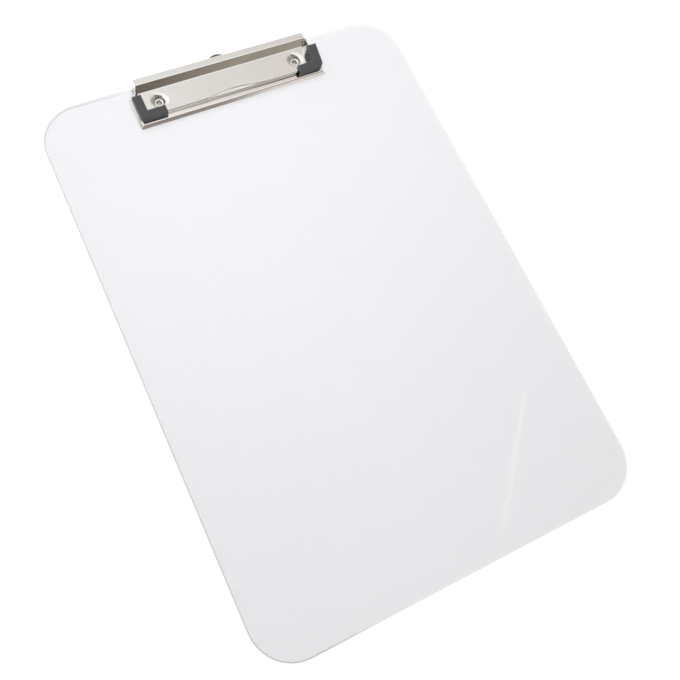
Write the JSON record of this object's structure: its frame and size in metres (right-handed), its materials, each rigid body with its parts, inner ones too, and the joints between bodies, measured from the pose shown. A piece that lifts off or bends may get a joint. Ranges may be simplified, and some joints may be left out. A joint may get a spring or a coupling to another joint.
{
  "type": "clipboard",
  "caption": "A4-size clear plastic clipboard with a low sprung steel clip, rubber jaw corners and a sliding hanging tab.",
  "frame": {"origin": "centre of the board's back face", "axes": "+X to the right, +Y toward the clip, +Z out of the board's front face"},
  "size_m": [0.229, 0.3295, 0.0105],
  "materials": {
    "clear_board": "clear, glossy, faintly milky",
    "nickel_base": "bright nickel plate",
    "nickel_lever": "bright nickel plate with fine scratches",
    "pin_steel": "drawn wire",
    "spring_steel": "oiled spring wire",
    "black_rubber": "satin moulded rubber",
    "nickel_rivet": "bright nickel plate",
    "washer_steel": "zinc plate",
    "tab_steel": "dark polished plate"
  },
  "bodies": {
    "base": {"board": "clear_board", "base_plate": "nickel_base", "hinge_pin": "pin_steel", "torsion_spring_left": "spring_steel", "torsion_spring_right": "spring_steel", "rivet_left": "nickel_rivet", "rivet_right": "nickel_rivet", "rivet_washer_left": "washer_steel", "rivet_washer_right": "washer_steel", "tab_stop_stud": "washer_steel"},
    "lever": {"lever_plate": "nickel_lever", "jaw_corner_left": "black_rubber", "jaw_corner_right": "black_rubber"},
    "tab": {"hanging_tab": "tab_steel"}
  },
  "joints": [
    {"name": "lever_hinge", "type": "hinge", "parent": "base", "child": "lever", "pos_m": [0, 0.1576, 0.0063], "axis": [-1, 0, 0], "range_deg": [0, 32], "stiffness_Nm_per_rad": 0.25, "springref_deg": -45.84, "deforming": ["torsion_spring_left", "torsion_spring_right"]},
    {"name": "tab_slide", "type": "slide", "parent": "base", "child": "tab", "axis": [0, 1, 0], "range_m": [0, 0.014]}
  ]
}
